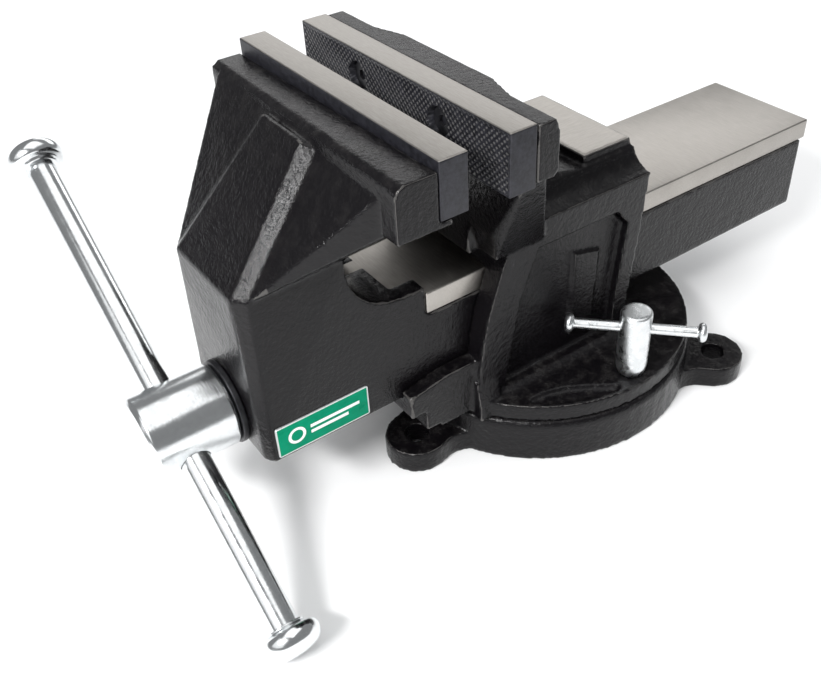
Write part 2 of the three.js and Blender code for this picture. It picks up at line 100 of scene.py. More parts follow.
def rounded(points, radius, steps=5):
    """A polyline with its inner corners turned into curves: each corner becomes a quadratic
    curve between the two points that lie `radius` along its sides."""
    points = np.asarray(points, float)
    out = [points[:1]]
    t = np.linspace(0, 1, steps + 1)[:, None]
    for before, corner, after in zip(points[:-2], points[1:-1], points[2:]):
        to_before, to_after = before - corner, after - corner
        reach_a = min(radius, 0.45 * np.linalg.norm(to_before))
        reach_b = min(radius, 0.45 * np.linalg.norm(to_after))
        a = corner + to_before / np.linalg.norm(to_before) * reach_a
        b = corner + to_after / np.linalg.norm(to_after) * reach_b
        out.append((1 - t) ** 2 * a + 2 * t * (1 - t) * corner + t ** 2 * b)
    return np.vstack(out + [points[-1:]])


def ring_faces(rings, sides, close_rings=False):
    """Quads between neighbouring rings of a tube, each ring with `sides` points."""
    count = rings if close_rings else rings - 1
    i, j = np.meshgrid(np.arange(count), np.arange(sides), indexing="ij")
    i2, j2 = (i + 1) % rings, (j + 1) % sides
    return np.stack([i * sides + j, i * sides + j2, i2 * sides + j2, i2 * sides + j], -1).reshape(-1, 4)


def across(way):
    """Two unit directions square to `way` and to each other."""
    way = np.asarray(way, float) / np.linalg.norm(way)
    other = np.array([0.0, 0.0, 1.0]) if abs(way[2]) < 0.9 else np.array([1.0, 0.0, 0.0])
    u = np.cross(way, other)
    u /= np.linalg.norm(u)
    return way, u, np.cross(way, u)


def turned(name, profile, start, way, sides=96, sharp=40):
    """A surface of revolution: point (radius r, distance h) at angle a goes to
    start + h * way + r * (cos a * u + sin a * v). A profile that starts and ends on the axis
    gets one pole at each end; any other profile closes on itself as a ring."""
    way, u, v = across(way)
    profile = np.asarray(profile, float)
    poled = profile[0, 0] < 1e-6
    rows = profile[1:-1] if poled else profile
    angle = np.linspace(0, 2 * math.pi, sides, endpoint=False)
    spoke = np.cos(angle)[:, None] * u + np.sin(angle)[:, None] * v
    verts = (np.asarray(start) + rows[:, 1, None, None] * way
             + rows[:, 0, None, None] * spoke[None]).reshape(-1, 3)
    faces = ring_faces(len(rows), sides, close_rings=not poled)
    if not poled:
        return outward(mesh_object(name, verts, faces, sharp))
    poles = np.asarray(start) + profile[[0, -1], 1, None] * way
    n, j = len(verts), np.arange(sides)
    last = n - sides
    fans = [[n, a, b] for a, b in zip((j + 1) % sides, j)]
    fans += [[n + 1, last + a, last + b] for a, b in zip(j, (j + 1) % sides)]
    return outward(mesh_object(name, np.vstack([verts, poles]), faces.tolist() + fans, sharp))


def outward(piece):
    """Turns every face outwards."""
    work = bmesh.new()
    work.from_mesh(piece.data)
    bmesh.ops.recalc_face_normals(work, faces=work.faces)
    work.to_mesh(piece.data)
    work.free()
    return piece


def drilled(piece, radius, middle, way, reach, sharp=35):
    """Takes a round hole through a piece."""
    profile = [[0, -reach], [radius, -reach], [radius, reach], [0, reach]]
    drill = turned("drill", profile, middle, way, 64)
    with_modifier(piece, "BOOLEAN", operation="DIFFERENCE", solver="EXACT", object=drill)
    bpy.data.objects.remove(drill)
    piece.data.set_sharp_from_angle(angle=math.radians(sharp))
    return piece


def ripple(points, wavelength, seed, waves=28):
    """Smooth noise at points in millimetres: a sum of plane sine waves in random directions,
    with wavelengths within 40% of the one given, scaled to about -1..1."""
    rng = np.random.default_rng(seed)
    ways = rng.normal(size=(waves, 3))
    ways /= np.linalg.norm(ways, axis=1, keepdims=True)
    ways *= 2 * math.pi / (wavelength * rng.uniform(0.7, 1.4, (waves, 1)))
    return np.sin(points @ ways.T + rng.uniform(0, 2 * math.pi, waves)).sum(1) / math.sqrt(waves)


def neighbour_mean(values, edges, count):
    """The mean over each vertex's neighbours, for every column of `values`."""
    a, b = edges[:, 0], edges[:, 1]
    degree = np.bincount(a, minlength=count) + np.bincount(b, minlength=count)
    total = np.stack([np.bincount(a, values[b, k], count) + np.bincount(b, values[a, k], count)
                      for k in range(values.shape[1])], 1)
    return total / np.maximum(degree, 1)[:, None]


def vertices_of(mesh):
    out = np.empty(len(mesh.vertices) * 3, np.float32)
    mesh.vertices.foreach_get("co", out)
    return out.reshape(-1, 3).astype(float) / MM


def edges_of(mesh):
    out = np.empty(len(mesh.edges) * 2, np.int32)
    mesh.edges.foreach_get("vertices", out)
    return out.reshape(-1, 2)


def normals_of(mesh):
    out = np.empty(len(mesh.vertices) * 3, np.float32)
    mesh.vertex_normals.foreach_get("vector", out)
    return out.reshape(-1, 3).astype(float)


def welded_copy(node, name):
    """A copy of a CAD node's mesh with its loose triangles joined."""
    work = bmesh.new()
    work.from_mesh(NODES[node].data)
    bmesh.ops.remove_doubles(work, verts=work.verts, dist=1e-6)
    mesh = bpy.data.meshes.new(name)
    work.to_mesh(mesh)
    work.free()
    return mesh


def mark_edges(piece, reach=6):
    """Writes the attribute `edge`: how far each vertex stands out over its neighbourhood, which is
    0.5 on a flat face, near 1 on an outer edge and near 0 in an inner corner."""
    mesh = piece.data
    verts, edges = vertices_of(mesh), edges_of(mesh)
    smooth = verts
    for _ in range(reach):
        smooth = 0.3 * smooth + 0.7 * neighbour_mean(smooth, edges, len(verts))
    proud = ((verts - smooth) * normals_of(mesh)).sum(1)
    value = np.clip(0.5 + proud * 1.2, 0, 1).astype(np.float32)
    mesh.attributes.new("edge", "FLOAT", "POINT").data.foreach_set("value", value)


SMOOTH_IN, SMOOTH_BACK = 0.55, 0.5
CAST_SWELLS = ((0.035, 9.0, 11), (0.012, 4.0, 12))  # depth and wavelength in millimetres, and seed


def cast_piece(node, name, grain=1.0, rounds=6, limit=180000):
    """A sand casting: the CAD solid is remade as an even skin of `grain` mm squares, its steps and
    corners are eased by moving each point towards the mean of its neighbours and then most of the
    way back, and a shallow swell is added along the normals."""
    piece = finish_mesh(name, welded_copy(node, name))
    with_modifier(piece, "REMESH", mode="VOXEL", voxel_size=(grain * 1) * MM)
    mesh = piece.data
    verts, edges = vertices_of(mesh), edges_of(mesh)
    for step in range(2 * rounds):
        pull = SMOOTH_IN if step % 2 == 0 else -SMOOTH_BACK
        verts += pull * (neighbour_mean(verts, edges, len(verts)) - verts)
    bumps = sum(depth * ripple(verts, wavelength, seed) for depth, wavelength, seed in CAST_SWELLS)
    flat = (normals_of(mesh)[:, 2] > 0.98) & (abs(verts[:, 2] - ANVIL_TOP) < 0.6) & (verts[:, 1] > 0)
    verts += np.where(flat, 0, bumps)[:, None] * normals_of(mesh)
    mesh.vertices.foreach_set("co", (verts * MM).ravel().astype(np.float32))
    triangles = 2 * len(mesh.polygons)
    if triangles > limit:
        with_modifier(piece, "DECIMATE", ratio=limit / triangles)
    piece.data.polygons.foreach_set("use_smooth", np.ones(len(piece.data.polygons), bool))
    mark_edges(piece)
    return piece


def machined_piece(node, name, edge=0.4):
    """A machined block: the CAD solid with its flat faces made whole and its edges broken."""
    work = bmesh.new()
    work.from_mesh(welded_copy(node, name))
    bmesh.ops.dissolve_limit(work, angle_limit=math.radians(1), verts=work.verts, edges=work.edges)
    mesh = bpy.data.meshes.new(name)
    work.to_mesh(mesh)
    work.free()
    piece = finish_mesh(name, mesh)
    with_modifier(piece, "BEVEL", width=edge * MM, segments=3, limit_method="ANGLE",
                  angle_limit=math.radians(30))
    piece.data.set_sharp_from_angle(angle=math.radians(35))
    return piece


# ---- shader nodes ----
class Net:
    """Adds nodes to one tree and links them as they are named."""

    def __init__(self, tree):
        self.tree = tree

    def put(self, kind, values=None, **settings):
        node = self.tree.nodes.new(kind)
        for key, value in settings.items():
            setattr(node, key, value)
        for key, value in (values or {}).items():
            if isinstance(value, bpy.types.NodeSocket):
                self.tree.links.new(value, node.inputs[key])
            else:
                node.inputs[key].default_value = value
        return node

    def calc(self, operation, a, b=0.0, clamp=False):
        return self.put("ShaderNodeMath", {0: a, 1: b}, operation=operation, use_clamp=clamp).outputs[0]

    def ramp(self, value, low, high, to_low=0.0, to_high=1.0):
        return self.put("ShaderNodeMapRange", {"Value": value, "From Min": low, "From Max": high,
                                               "To Min": to_low, "To Max": to_high}).outputs[0]

    def noise(self, place, scale, detail=3.0, roughness=0.55):
        return self.put("ShaderNodeTexNoise", {"Vector": place, "Scale": scale, "Detail": detail,
                                               "Roughness": roughness}).outputs["Fac"]

    def stretched(self, place, scale, turn=(0, 0, 0)):
        values = {"Vector": place, "Scale": scale, "Rotation": turn}
        return self.put("ShaderNodeMapping", values).outputs[0]

    def blend(self, share, a, b):
        node = self.put("ShaderNodeMix", {"Factor": share}, data_type="RGBA")
        for socket, value in ((node.inputs[6], a), (node.inputs[7], b)):
            if isinstance(value, bpy.types.NodeSocket):
                self.tree.links.new(value, socket)
            else:
                socket.default_value = (*value, 1.0)
        return node.outputs[2]

    def between(self, share, a, b):
        """a where the share is 0, b where it is 1."""
        rise = self.calc("SUBTRACT", b, a)
        return self.calc("ADD", a, self.calc("MULTIPLY", share, rise))


def node_group(name, inputs, outputs, build):
    """A shader node group; build(net, inlet) returns a socket for each output."""
    tree = bpy.data.node_groups.new(name, "ShaderNodeTree")
    for label, (kind, value) in inputs.items():
        socket = tree.interface.new_socket(label, in_out="INPUT", socket_type=kind)
        if value is not None:
            socket.default_value = value
    for label, kind in outputs.items():
        tree.interface.new_socket(label, in_out="OUTPUT", socket_type=kind)
    net = Net(tree)
    inlet = net.put("NodeGroupInput").outputs
    net.put("NodeGroupOutput", dict(zip(outputs, build(net, inlet))))
    return tree


FLOAT, VECTOR = "NodeSocketFloat", "NodeSocketVector"


def build_cast_skin(net, inlet):
    """Pebbles of two sizes under the enamel, with patches that are glossier than others."""
    place = inlet["Place"]
    coarse = net.noise(place, inlet["Coarse"], 2.0, 0.5)
    fine = net.noise(place, inlet["Fine"], 3.0, 0.6)
    height = net.calc("ADD", net.calc("MULTIPLY", coarse, 0.65), net.calc("MULTIPLY", fine, 0.35))
    patches = net.noise(place, 38.0, 3.0, 0.6)
    return height, net.ramp(patches, 0.3, 0.7, -1.0, 1.0)


def build_edge_wear_and_highlight(net, inlet):
    """Speckles where the edge attribute is high, broken up by noise."""
    speck = net.noise(inlet["Place"], inlet["Speck"], 4.0, 0.7)
    proud = net.ramp(inlet["Edge"], inlet["From"], 1.0)
    total = net.calc("ADD", net.calc("MULTIPLY", proud, 0.55), net.calc("MULTIPLY", speck, 0.75))
    return (net.calc("MULTIPLY", net.ramp(total, 0.66, 0.78), net.ramp(proud, 0.02, 0.25)),)


def build_ground_lines(net, inlet):
    """Long fine scratches from a grinding wheel, with a slow change of tone over them."""
    fine = net.noise(inlet["Lines"], 1.0, 4.0, 0.65)
    slow = net.noise(inlet["Place"], 55.0, 3.0, 0.6)
    tone = net.calc("ADD", net.calc("MULTIPLY", fine, 0.7), net.calc("MULTIPLY", slow, 0.3))
    return fine, tone


def build_dust(net, inlet):
    """A thin film that lies on faces that look up."""
    up = net.put("ShaderNodeSeparateXYZ", {0: inlet["Normal"]}).outputs[2]
    patch = net.noise(inlet["Place"], 160.0, 4.0, 0.7)
    return (net.calc("MULTIPLY", net.ramp(up, 0.5, 1.0), net.ramp(patch, 0.45, 0.75)),)


CAST_SKIN = node_group(
    "cast_skin", {"Place": (VECTOR, None), "Coarse": (FLOAT, 260.0), "Fine": (FLOAT, 900.0)},
    {"Height": FLOAT, "Patches": FLOAT}, build_cast_skin)
# The edge speckle mask: worn tooth tips on the jaw plates; on the enamel, worn edges and also a painted
# edge highlight.
EDGE_WEAR_AND_HIGHLIGHT = node_group(
    "edge_wear_and_highlight", {"Place": (VECTOR, None), "Edge": (FLOAT, 0.5), "Speck": (FLOAT, 700.0),
                     "From": (FLOAT, 0.6)}, {"Mask": FLOAT}, build_edge_wear_and_highlight)
GROUND_LINES = node_group("ground_lines", {"Place": (VECTOR, None), "Lines": (VECTOR, None)},
                          {"Height": FLOAT, "Tone": FLOAT}, build_ground_lines)
DUST = node_group("dust", {"Place": (VECTOR, None), "Normal": (VECTOR, None)}, {"Film": FLOAT},
                  build_dust)


def new_material(name):
    """An empty node material with its Principled shader and the object coordinates."""
    material = bpy.data.materials.new(name)
    material.use_nodes = True
    tree = material.node_tree
    tree.nodes.clear()
    net = Net(tree)
    shader = net.put("ShaderNodeBsdfPrincipled")
    net.put("ShaderNodeOutputMaterial", {"Surface": shader.outputs[0]})
    place = net.put("ShaderNodeTexCoord").outputs["Object"]
    return material, net, shader, place


def feed(net, shader, **values):
    """Sets or links the shader's sockets, named with underscores for spaces."""
    for key, value in values.items():
        socket = shader.inputs[key.replace("_", " ")]
        if isinstance(value, bpy.types.NodeSocket):
            net.tree.links.new(value, socket)
        else:
            socket.default_value = value


def use_group(net, tree, values):
    node = net.tree.nodes.new("ShaderNodeGroup")
    node.node_tree = tree
    for key, value in values.items():
        if isinstance(value, bpy.types.NodeSocket):
            net.tree.links.new(value, node.inputs[key])
        else:
            node.inputs[key].default_value = value
    return node.outputs


def bump(net, height, distance, strength=1.0, under=None):
    values = {"Height": height, "Distance": distance, "Strength": strength}
    if under is not None:
        values["Normal"] = under
    return net.put("ShaderNodeBump", values).outputs[0]


def ground_zone(net, place, lowest_z, lowest_y):
    """1 on the ground top faces: above a height and behind a line, both in millimetres."""
    axes = net.put("ShaderNodeSeparateXYZ", {0: place}).outputs
    return net.calc("MULTIPLY", net.ramp(axes[2], (lowest_z - 0.08) * MM, (lowest_z + 0.02) * MM),
                    net.ramp(axes[1], (lowest_y - 1) * MM, lowest_y * MM))


STEEL_TONES = ((0.31, 0.29, 0.265), (0.50, 0.475, 0.445))
# The third colour is bare iron: on the enamel's edges it stands for worn-through paint and also paints
# the edge highlights.
ENAMEL_BLACK, DUST_GREY, BARE_IRON_AND_HIGHLIGHT = (0.0036, 0.0031, 0.0038), (0.20, 0.19, 0.18), (0.26, 0.25, 0.24)
OXIDE_TONES = ((0.010, 0.010, 0.013), (0.030, 0.030, 0.038))
WORN_TEETH = (0.36, 0.35, 0.34)
PLATE_DARKER = 0.16  # the jaw plates' ground tops are this much darker than the slide
LABEL_GREENS = ((0.001, 0.210, 0.108), (0.001, 0.260, 0.138))
LABEL_WHITE, LABEL_SILVER = (0.86, 0.88, 0.87), (0.62, 0.64, 0.64)


def steel_look(net, place, lines_scale, turn=(0, 0, 0)):
    """Colour, roughness and height of a ground face whose scratches run along one direction."""
    lines = net.stretched(place, lines_scale, turn)
    out = use_group(net, GROUND_LINES, {"Place": place, "Lines": lines})
    share = net.ramp(out["Tone"], 0.32, 0.68)
    return net.blend(share, *STEEL_TONES), net.ramp(out["Tone"], 0.3, 0.7, 0.30, 0.46), out["Height"]


def enamel(name, ground_above=None, ground_behind=-1000.0, coarse=480.0, relief=0.0005):
    """Black gloss enamel over sand-cast iron, lightened towards bare iron on its edges, partly as
    paint worn through and partly as a painted highlight, with an optional ground top face."""
    material, net, shader, place = new_material(name)
    skin = use_group(net, CAST_SKIN, {"Place": place, "Coarse": coarse, "Fine": 1500.0})
    edge = net.put("ShaderNodeAttribute", attribute_name="edge").outputs["Fac"]
    wear = {"Place": place, "Edge": edge, "Speck": 900.0, "From": 0.86}
    rubbed_and_highlit = use_group(net, EDGE_WEAR_AND_HIGHLIGHT, wear)["Mask"]
    normal = net.put("ShaderNodeNewGeometry").outputs["Normal"]
    film = use_group(net, DUST, {"Place": place, "Normal": normal})["Film"]
    colour = net.blend(net.calc("MULTIPLY", film, 0.09), ENAMEL_BLACK, DUST_GREY)
    # Painted highlight: the convex edges are lightened towards bare iron, standing in for edge
    # highlights as well as worn-through paint.
    colour = net.blend(net.calc("MULTIPLY", rubbed_and_highlit, 0.28), colour, BARE_IRON_AND_HIGHLIGHT)
    roughness = net.calc("ADD", net.ramp(skin["Patches"], -1.0, 1.0, 0.10, 0.21),
                         net.calc("MULTIPLY", film, 0.10))
    metal = net.calc("MULTIPLY", rubbed_and_highlit, 0.4)
    height = skin["Height"]
    if ground_above is not None:
        zone = ground_zone(net, place, ground_above, ground_behind)
        steel, steel_roughness, lines = steel_look(net, place, (2600.0, 130.0, 2600.0),
                                                   (0, 0, math.radians(38)))
        colour = net.blend(zone, colour, steel)
        roughness = net.between(zone, roughness, steel_roughness)
        metal = net.between(zone, metal, 1.0)
        height = net.between(zone, height, net.calc("MULTIPLY", lines, 0.08))
    feed(net, shader, Base_Color=colour, Roughness=roughness, Metallic=metal,
         Normal=bump(net, height, relief))
    shader.inputs["Specular IOR Level"].default_value = 0.25
    return material


def jaw_steel(name):
    """Black-oxide jaw plate with a ground top face and bright wear on the tips of its teeth."""
    material, net, shader, place = new_material(name)
    mottle = net.noise(place, 420.0, 4.0, 0.65)
    edge = net.put("ShaderNodeAttribute", attribute_name="edge").outputs["Fac"]
    wear = {"Place": place, "Edge": edge, "Speck": 620.0, "From": 0.6}
    worn = use_group(net, EDGE_WEAR_AND_HIGHLIGHT, wear)["Mask"]
    colour = net.blend(net.ramp(mottle, 0.35, 0.7), *OXIDE_TONES)
    colour = net.blend(net.calc("MULTIPLY", worn, 0.4), colour, WORN_TEETH)
    zone = ground_zone(net, place, JAW_TOP - 0.2, -1000.0)
    steel, steel_roughness, lines = steel_look(net, place, (150.0, 2600.0, 2600.0),
                                               (0, 0, math.radians(6)))
    colour = net.blend(zone, colour, net.blend(PLATE_DARKER, steel, (0.0, 0.0, 0.0)))
    roughness = net.between(zone, net.ramp(mottle, 0.3, 0.7, 0.34, 0.5), steel_roughness)
    height = net.between(zone, mottle, net.calc("MULTIPLY", lines, 0.1))
    feed(net, shader, Base_Color=colour, Roughness=roughness,
         Metallic=net.between(zone, net.calc("ADD", 0.35, net.calc("MULTIPLY", worn, 0.3)), 1.0),
         Normal=bump(net, height, 0.00012))
    return material


def ground_steel(name):
    """Surface-ground bare steel; the scratches run across the slide."""
    material, net, shader, place = new_material(name)
    colour, roughness, lines = steel_look(net, place, (110.0, 2400.0, 2400.0), (0, 0, math.radians(-3)))
    feed(net, shader, Base_Color=colour, Roughness=roughness, Metallic=1.0,
         Normal=bump(net, lines, 0.00002))
    return material


def plated(name, tone, lines_scale, turn=(0, 0, 0), base_roughness=0.15):
    """Bright zinc plating over turned steel: faint tool marks round the axis and small dull spots."""
    material, net, shader, place = new_material(name)
    marks = net.noise(net.stretched(place, lines_scale, turn), 1.0, 3.0, 0.6)
    dull = net.noise(place, 240.0, 4.0, 0.65)
    low, high = base_roughness * 0.75, base_roughness * 1.7
    colour = net.blend(net.ramp(dull, 0.35, 0.75), tone, tuple(c * 0.84 for c in tone))
    feed(net, shader, Base_Color=colour, Roughness=net.ramp(dull, 0.35, 0.72, low, high), Metallic=1.0,
         Normal=bump(net, net.calc("ADD", marks, net.calc("MULTIPLY", dull, 0.6)), 0.000035))
    return material


def plain_metal(name, dark, light, metallic, rough_low, rough_high, scale=300.0):
    """Oiled or oxidised steel with a mottled tone."""
    material, net, shader, place = new_material(name)
    mottle = net.noise(place, scale, 4.0, 0.6)
    share = net.ramp(mottle, 0.35, 0.7)
    feed(net, shader, Base_Color=net.blend(share, dark, light), Metallic=metallic,
         Roughness=net.ramp(mottle, 0.3, 0.7, rough_low, rough_high), Normal=bump(net, mottle, 0.00006))
    return material


LABEL = {"y": (-172.5, -126.0), "z": (50.4, 66.9), "x": (33.1, 33.85)}
# The printed marks, in metres from the middle of the label; a bar has its centre and half length.
RING_AT, RING_R, BAR_HALF_HEIGHT = -0.0135, 0.0036, 0.00085
BARS = ((0.0058, 0.0014, 0.0125), (0.0028, -0.0018, 0.0095))


def label_print(name):
    """Green foil with a silver border, a plain white ring and two plain white bars."""
    material, net, shader, place = new_material(name)
    axes = net.put("ShaderNodeSeparateXYZ", {0: place}).outputs
    middle = [sum(LABEL[k]) / 2 * MM for k in "yz"]
    half = [(LABEL[k][1] - LABEL[k][0]) / 2 * MM for k in "yz"]
    across_y = net.calc("SUBTRACT", axes[1], middle[0])
    across_z = net.calc("SUBTRACT", axes[2], middle[1])
    from_side = net.calc("MAXIMUM", net.calc("SUBTRACT", net.calc("ABSOLUTE", across_y), half[0]),
                         net.calc("SUBTRACT", net.calc("ABSOLUTE", across_z), half[1]))
    border = net.ramp(from_side, -0.00075, -0.00065)
    ring_y = net.calc("SUBTRACT", across_y, RING_AT)
    radius = net.calc("SQRT", net.calc("ADD", net.calc("MULTIPLY", ring_y, ring_y),
                                       net.calc("MULTIPLY", across_z, across_z)))
    ring = net.ramp(net.calc("ABSOLUTE", net.calc("SUBTRACT", radius, RING_R)), 0.00075, 0.00065)
    bars = 0.0
    for centre_y, centre_z, half_y in BARS:
        off_y = net.calc("ABSOLUTE", net.calc("SUBTRACT", across_y, centre_y))
        off_y = net.calc("SUBTRACT", off_y, half_y)
        off_z = net.calc("ABSOLUTE", net.calc("SUBTRACT", across_z, centre_z))
        off_z = net.calc("SUBTRACT", off_z, BAR_HALF_HEIGHT)
        bars = net.calc("ADD", bars, net.ramp(net.calc("MAXIMUM", off_y, off_z), 0.00005, -0.00005))
    white = net.calc("MAXIMUM", ring, bars, clamp=True)
    tint = net.noise(place, 180.0, 3.0)
    colour = net.blend(net.ramp(tint, 0.3, 0.7), *LABEL_GREENS)
    colour = net.blend(white, colour, LABEL_WHITE)
    colour = net.blend(border, colour, LABEL_SILVER)
    feed(net, shader, Base_Color=colour, Metallic=net.calc("MULTIPLY", border, 0.7),
         Roughness=net.ramp(tint, 0.3, 0.7, 0.26, 0.36), Normal=bump(net, tint, 0.00003))
    shader.inputs["Specular IOR Level"].default_value = 0.05
    return material


# ---- finishes ----
CASTING = enamel("black_enamel")
CASTING_GROUND = enamel("black_enamel_anvil", ground_above=ANVIL_TOP - 0.25, ground_behind=0.5)
JAW_PLATE_LOOK = jaw_steel("jaw_plate_steel")
SLIDE_LOOK = ground_steel("ground_slide_steel")
ZINC = (0.80, 0.82, 0.83)
HEAD_PLATING = plated("spindle_plating", ZINC, (160.0, 2600.0, 160.0))
BAR_PLATING = plated("handle_plating", ZINC, (300.0, 300.0, 300.0))
LOCK_PLATING = plated("lock_plating", ZINC, (260.0, 260.0, 1800.0), base_roughness=0.26)
# Black oxide for the screws; on the spindle washer the same black also paints the shadow line at the
# spindle head.
BLACK_OXIDE_AND_SHADOW = plain_metal("black_oxide_and_shadow", (0.012, 0.012, 0.014), (0.030, 0.030, 0.034), 0.5, 0.32, 0.5)
OILED_STEEL = plain_metal("oiled_steel", (0.20, 0.19, 0.175), (0.34, 0.33, 0.31), 1.0, 0.28, 0.45)
LABEL_LOOK = label_print("label_foil")


def place_piece(piece, body, slot, look, *replaced):
    """Gives a piece its finish, its body and the CAD nodes that it stands for; its slot is not used."""
    piece.data.materials.clear()
    piece.data.materials.append(look)
    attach(piece, body)
    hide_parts(*replaced)
    return piece


# ---- castings ----
place_piece(cast_piece("base_casting", "swivel_base"), "base", "black_enamel", CASTING, "base_casting")
place_piece(cast_piece("fixed_body", "fixed_casting"), "swivel_body", "black_enamel", CASTING_GROUND,
            "fixed_body")
place_piece(cast_piece("moving_jaw_body", "moving_casting"), "moving_jaw", "black_enamel", CASTING,
            "moving_jaw_body")


# ---- jaw plates ----
PLATE_CORNER, PLATE_STEP = 0.7, 0.5
GROOVE_PITCH, GROOVE_DEPTH = 2.1, 0.75
TOOTH_LAND = 0.45  # share of half a pitch that stays at full height
SEAT_R, SEAT_DEPTH = 6.75, 4.3


def from_edges(x, z, bottom):
    """Distance of a point of the working face from the nearest edge of the plate."""
    return np.minimum(np.minimum(JAW_HALF - np.abs(x), JAW_TOP - z), z - bottom)


def from_screws(x, z):
    """Distance of a point of the working face from the nearer screw."""
    return np.hypot(np.abs(x) - JAW_SCREW_X, z - JAW_SCREW_Z)


def serration(x, z, bottom):
    """Depth of the working face in millimetres: two sets of V grooves that cross at right angles,
    and a flat-bottomed seat round each screw, with a plain margin at the edges."""
    slant_a = np.abs(((x + z) / math.sqrt(2) / GROOVE_PITCH) % 1 - 0.5) * 2
    slant_b = np.abs(((x - z) / math.sqrt(2) / GROOVE_PITCH) % 1 - 0.5) * 2
    flank = np.clip((np.maximum(slant_a, slant_b) - TOOTH_LAND) / (1 - TOOTH_LAND), 0, 1)
    depth = flank * GROOVE_DEPTH * np.clip((from_edges(x, z, bottom) - 1.0) / 0.8, 0, 1)
    return np.maximum(depth, SEAT_DEPTH * np.clip((SEAT_R - from_screws(x, z)) / 0.5, 0, 1))


def groove_zone(x, z, bottom):
    """True where the face is serrated, False on its plain margin and near the screws."""
    return (from_edges(x, z, bottom) > 1.4) & (from_screws(x, z) > SEAT_R + 0.45)


def jaw_plate(name, face, back, height):
    """A plate made by carrying its rounded section, an outline in depth and height, along X:
    point k of the section at distance x goes to (x, face + back * depth_k, z_k). The front part
    of the section is pushed in by the serration, and the section shrinks at both ends."""
    bottom = JAW_TOP - height
    corner = PLATE_CORNER
    rows = int(height / PLATE_STEP)
    front = np.stack([np.zeros(rows), np.linspace(bottom + corner, JAW_TOP - corner, rows)], 1)
    rest = rounded([[0, JAW_TOP - corner], [0, JAW_TOP], [JAW_THICK, JAW_TOP], [JAW_THICK, bottom],
                    [0, bottom], [0, bottom + corner]], corner, 4)
    section = np.vstack([front, rest[1:-1]])
    across_x = np.arange(-JAW_HALF + PLATE_CORNER, JAW_HALF - 0.6, PLATE_STEP)
    ease = np.linspace(0, math.pi / 2, 4)[:-1]
    end = JAW_HALF - PLATE_CORNER
    x = np.concatenate([-end - np.cos(ease) * PLATE_CORNER, across_x,
                        end + np.cos(ease[::-1]) * PLATE_CORNER])
    inset = np.concatenate([(1 - np.sin(ease)) * PLATE_CORNER, np.zeros(len(across_x)),
                            (1 - np.sin(ease[::-1])) * PLATE_CORNER])
    middle = np.array([JAW_THICK / 2, (bottom + JAW_TOP) / 2])
    half = np.array([JAW_THICK / 2, height / 2])
    shrink = 1 - inset[:, None, None] / half
    place = middle + (section - middle)[None] * shrink
    xs = np.repeat(x[:, None], len(section), 1)
    depth = serration(xs, place[..., 1], bottom)
    depth[:, rows:] = 0
    y = face + back * (place[..., 0] + depth)
    verts = np.stack([xs, y, place[..., 1]], -1).reshape(-1, 3)
    sides, stations = len(section), len(x)
    faces = ring_faces(stations, sides).tolist()
    faces += [list(range(sides))[::-1], list(range(sides * (stations - 1), sides * stations))]
    piece = mesh_object(name, verts, faces, 60)
    # The attribute `edge` is 1 on the tips of the teeth and 0 at the bottom of the grooves.
    is_tip = (depth <= 0.02) & groove_zone(xs, place[..., 1], bottom)
    is_flank = (depth > 0.02) & (depth < GROOVE_DEPTH)
    tips = np.where(is_flank, 1 - depth / GROOVE_DEPTH, 0) + is_tip
    tips[:, rows:] = 0
    edge = piece.data.attributes.new("edge", "FLOAT", "POINT")
    edge.data.foreach_set("value", tips.ravel().astype(np.float32))
    return outward(piece)


place_piece(jaw_plate("fixed_jaw_serrated", FIXED_FACE, 1, 27.0), "swivel_body", "blackened_steel",
            JAW_PLATE_LOOK, "fixed_jaw_plate")
place_piece(jaw_plate("moving_jaw_serrated", MOVING_FACE, -1, 24.5), "moving_jaw", "blackened_steel",
            JAW_PLATE_LOOK, "moving_jaw_plate")

# ---- slide top ----
place_piece(machined_piece("slide_plate", "slide_top", 0.7), "moving_jaw", "ground_steel", SLIDE_LOOK,
            "slide_plate")


# ---- spindle ----
def threaded_shaft():
    """The spindle's shaft. Along it the radius follows a trapezoidal tooth, a function of
    distance / pitch - angle / (2 pi), which fades in over one pitch at each end of the thread."""
    sides = 48
    y = np.concatenate([[HEAD_REAR - 6, HEAD_REAR, THREAD_START - 8],
                        np.arange(THREAD_START - 6, SPINDLE_END - 1.9, 0.75),
                        [SPINDLE_END - 2, SPINDLE_END - 0.3, SPINDLE_END]])
    angle = np.linspace(0, 2 * math.pi, sides, endpoint=False)
    phase = (y[:, None] / THREAD_PITCH - angle[None] / (2 * math.pi)) % 1
    tooth = np.clip((np.abs(phase - 0.5) - 0.14) / 0.16, 0, 1)
    fade = np.clip((y - THREAD_START) / THREAD_PITCH, 0, 1) * np.clip((SPINDLE_END - 3 - y) / 3, 0, 1)
    radius = SPINDLE_R - 0.15 - THREAD_DEPTH * tooth * fade[:, None]
    chamfer = np.interp(y, [SPINDLE_END - 2, SPINDLE_END], [SPINDLE_R, SPINDLE_R - 2])
    radius = np.minimum(radius, chamfer[:, None])
    verts = np.stack([radius * np.cos(angle), np.repeat(y[:, None], sides, 1),
                      SPINDLE_Z + radius * np.sin(angle)], -1).reshape(-1, 3)
    faces = ring_faces(len(y), sides).tolist()
    faces += [list(range(sides))[::-1], list(range(len(verts) - sides, len(verts)))]
    return outward(mesh_object("spindle_thread", verts, faces, 50))


